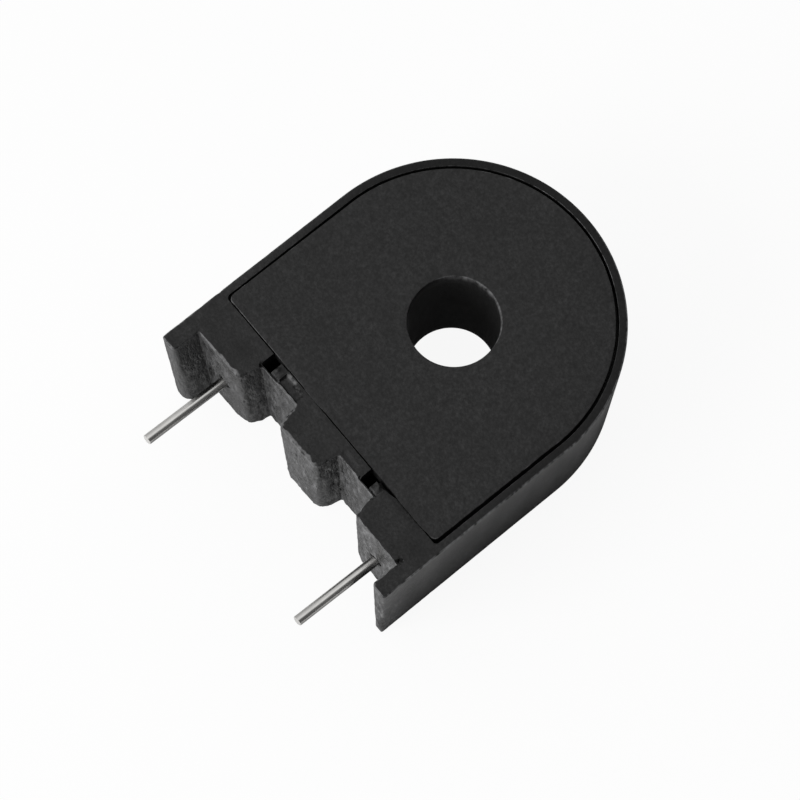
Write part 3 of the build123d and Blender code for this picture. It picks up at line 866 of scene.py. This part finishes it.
# Painted highlights at the cover's two corners.
cover_wear_and_highlight[-5:-1] += 0.8 * area(np.abs(across), cover_line[0][:, 1], 9.85, 11, -11, -9.7, 0.1)
cover_wear_and_highlight = np.clip(cover_wear_and_highlight, 0, 1)
bore_edge_highlight = np.zeros(cover_bore.shape[:2])
# A painted highlight on the rounded side of the bore's edge.
bore_edge_highlight[-5:-1] = 0.8 * blunt
lip_floor = recess_floor - 0.45
skin("flush_cover", [
    (*as_sheet(cover_wall), cover_wear_and_highlight.ravel()), (*as_sheet(cover_bore), bore_edge_highlight.ravel()),
    as_sheet(wall(*lip_outer, [(recess_floor, 0), (lip_floor, 0)])),
    as_sheet(wall(*lip_inner, [(recess_floor, 0), (lip_floor, 0)])),
    level(body_depth, cover_wall[-1, :, :2], cover_bore[-1, :, :2], spacing=0.5, top=body_half),
    level(recess_floor, cover_line[0], lip_outer[0]),
    level(lip_floor, lip_outer[0], lip_inner[0]), level(recess_floor, lip_inner[0], bore_line[0]),
], cover_black, "front_cover")

# %% [markdown]
# ## Terminal pins
#
# Each pin is a length of tinned copper wire. A cylinder would do for its shape, but its light comes from
# what happened to it: it was drawn through a die, which left fine lines along it, and it was sheared off,
# which left a slightly slanted end with a rolled edge. Its colour is darker down both sides than along its
# crown, a painted shade that stands in for the dark reflections there. So the pin is a profile turned about
# its axis, and its metal has a pattern stretched along the pin.
# The two pins lean very slightly, as hand-placed wires do.

# %% Tinned metal
# Noise squeezed across the pin and stretched along it makes the drawn lines. The sides are darker by a
# factor that depends on the way the surface points, a painted shade, and the sheared end is left out of it.
tin = Finish("drawn_tinned_wire")
tin_place = tin.add("TexCoord").outputs
tin_facing = tin.split(tin_place["Normal"])
# Painted shade, darker down both sides of the pin.
painted_flank_shade = tin.times(tin.spread(tin_facing["X"], -0.5, 0.05, 0.58, 1.0),
                   tin.spread(tin_facing["X"], 0.72, 0.92, 1.0, 0.3))
painted_shade_except_end = tin.math("MAXIMUM", painted_flank_shade, tin.spread(tin_facing["Y"], -0.9, -0.6, 1.0, 0.0))
drawn = tin.add("Mapping", Vector=tin_place["Object"], Scale=(1.0, 0.02, 1.0)).outputs[0]
lines, stains = tin.noise(drawn, 12000.0), tin.noise(tin_place["Object"], 1500.0)
tin_tint = np.array([0.80, 0.79, 0.77])
stained = tin.ramp(stains, (0.3, 0.7), (tin_tint * 0.86).tolist(), tin_tint.tolist())
tinned_wire = tin.surface(Base_Color=tin.mix("MULTIPLY", 1.0, stained, painted_shade_except_end), Metallic=1.0,
                          Roughness=tin.spread(lines, 0.3, 0.7, 0.19, 0.29),
                           Normal=tin.bump(lines, 0.000004, 0.4))
print("tin nodes:", len(tin.tree.nodes))

# %% Two pins
def pin(side, name, node, tip, lean_x):
    """A profile of y and radius turned about the pin's axis, whose free end leans over evenly from its root.

    The end is slanted: its points move back by up to 0.12 mm, more the higher they lie.
    """
    profile = [(-7.98, 0.0), (-7.98, 0.3), (-9.48, 0.3), (-9.48, 0.56), (-12.2, 0.56), (-12.25, pin_radius),
               (-12.7, pin_radius)]
    profile += [(y, pin_radius) for y in np.linspace(-13.1, 0.2 - tip, 18)]
    profile += [(0.1 - tip, 0.345), (0.04 - tip, 0.325), (0.01 - tip, 0.27), (-tip, 0.2), (-tip, 0.0)]
    grid = turned_about_pin(side, profile, count=48)
    free = np.clip(-12.8 - grid[..., 1], 0, None)
    end = np.clip(0.15 - tip - grid[..., 1], 0, None) / 0.15
    grid[..., 1] += end * 0.06 * (1 + (grid[..., 2] - pin_z) / pin_radius)
    grid[..., 0] += lean_x * free
    skin(name, [as_sheet(grid)], tinned_wire, node)


pin(-1, "left_pin", "terminal_pin_left", 19.0, -0.018)
pin(1, "right_pin", "terminal_pin_right", 19.08, -0.016)

# %% [markdown]
# ## What is inside
#
# Nothing of the coil shows from outside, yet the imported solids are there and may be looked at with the
# cover off. Their shapes stay as they are. Each gets the finish of what it is: a ring rolled from thin
# magnetic strip, its plastic case, turns of enamelled copper wire, a band of film, pressed board washers
# and dull solder. A picture could be wrapped on each, but it would need seams and a map, so the patterns
# are worked out from the place instead: turns of wire from the angle about the bore, and layers of strip
# from the distance to it.

# %% Patterns worked out from the place
def wave(made, value, count):
    """A wave between 0 and 1: half of 1 + sin(count times the value)."""
    return made.spread(made.math("SINE", made.times(value, count)), -1.0, 1.0, 0.0, 1.0)


def rolled_layers(made, place):
    """Layers of thin strip: a wave of the distance to the axis, the root of x squared plus y squared, 0.1
    mm apart."""
    axes = made.split(place)
    distance = made.add("VectorMath", operation="LENGTH")
    made.feed(distance.inputs[0], made.add("CombineXYZ", X=axes["X"], Y=axes["Y"]).outputs[0])
    return wave(made, distance.outputs["Value"], 2 * math.pi / 0.0001)


def wire_turns(made, place):
    """Turns of wire: a wave of the angle about the axis, 160 to the circle, shaken by noise where wires
    cross."""
    axes = made.split(place)
    angle = made.math("ARCTAN2", axes["Y"], axes["X"])
    return wave(made, made.math("MULTIPLY_ADD", made.noise(place, 600.0, 2.0), 0.03, angle), 160.0)


def clouded(scale, stretch=(1.0, 1.0, 1.0)):
    """A pattern maker: noise of one scale, perhaps stretched along an axis."""
    def pattern(made, place):
        return made.noise(made.add("Mapping", Vector=place, Scale=stretch).outputs[0], scale, 4.0)
    return pattern


# %% Finishes of the inner pieces
def inner_finish(name, dark, light, pattern, bump_depth, dull, metallic=0.0, contrast=(0.35, 0.65)):
    """A finish whose colour and bump follow one pattern, with fine noise over it and a slightly uneven
    roughness."""
    made = Finish(name)
    place = made.add("TexCoord").outputs["Object"]
    value = pattern(made, place)
    raised = made.bump(value, bump_depth, 0.8)
    return made.surface(
        Base_Color=made.ramp(value, contrast, dark, light), Metallic=metallic,
        Roughness=made.spread(made.noise(place, 1100.0), 0.3, 0.7, dull - 0.06, dull + 0.06),
        Normal=made.bump(made.noise(place, 8000.0), 0.00001, 0.2, Normal=raised))


finishes = {
    "core_ring": inner_finish("rolled_strip", (0.20, 0.20, 0.21), (0.42, 0.42, 0.44),
                              rolled_layers, 0.00001, 0.34, 1.0),
    "core_case_cup": inner_finish("case_cup_plastic", (0.50, 0.49, 0.45), (0.60, 0.59, 0.55),
                                  clouded(700.0), 0.00001, 0.45),
    "core_case_lid": inner_finish("case_lid_plastic", (0.52, 0.51, 0.47), (0.62, 0.61, 0.57),
                                  clouded(850.0), 0.00001, 0.42),
    "secondary_winding": inner_finish("enamelled_wire_turns", (0.20, 0.055, 0.02), (0.72, 0.27, 0.11),
                                      wire_turns, 0.00005, 0.3, 0.85, (0.1, 0.8)),
    "winding_tape": inner_finish("amber_film_band", (0.62, 0.38, 0.06), (0.76, 0.52, 0.13),
                                 clouded(500.0, (1, 1, 6)), 0.000008, 0.24),
    "lower_washer": inner_finish("pressed_fibre_board", (0.30, 0.20, 0.11), (0.46, 0.33, 0.20),
                                 clouded(3200.0, (0.25, 1, 1)), 0.00002, 0.72),
    "upper_washer": inner_finish("pressed_fibre_board_upper", (0.31, 0.21, 0.12), (0.47, 0.34, 0.21),
                                 clouded(3000.0, (1, 0.25, 1)), 0.00002, 0.72),
    "solder_joint_left": inner_finish("dull_solder", (0.42, 0.42, 0.43), (0.62, 0.62, 0.63),
                                      clouded(2400.0), 0.00002, 0.36, 1.0),
    "solder_joint_right": inner_finish("dull_solder_right", (0.43, 0.43, 0.44), (0.61, 0.61, 0.62),
                                       clouded(2600.0), 0.00002, 0.38, 1.0),
}
for node, finish in finishes.items():
    for slot in nodes[node].material_slots:
        slot.material = finish
print("inner pieces finished:", len(finishes))
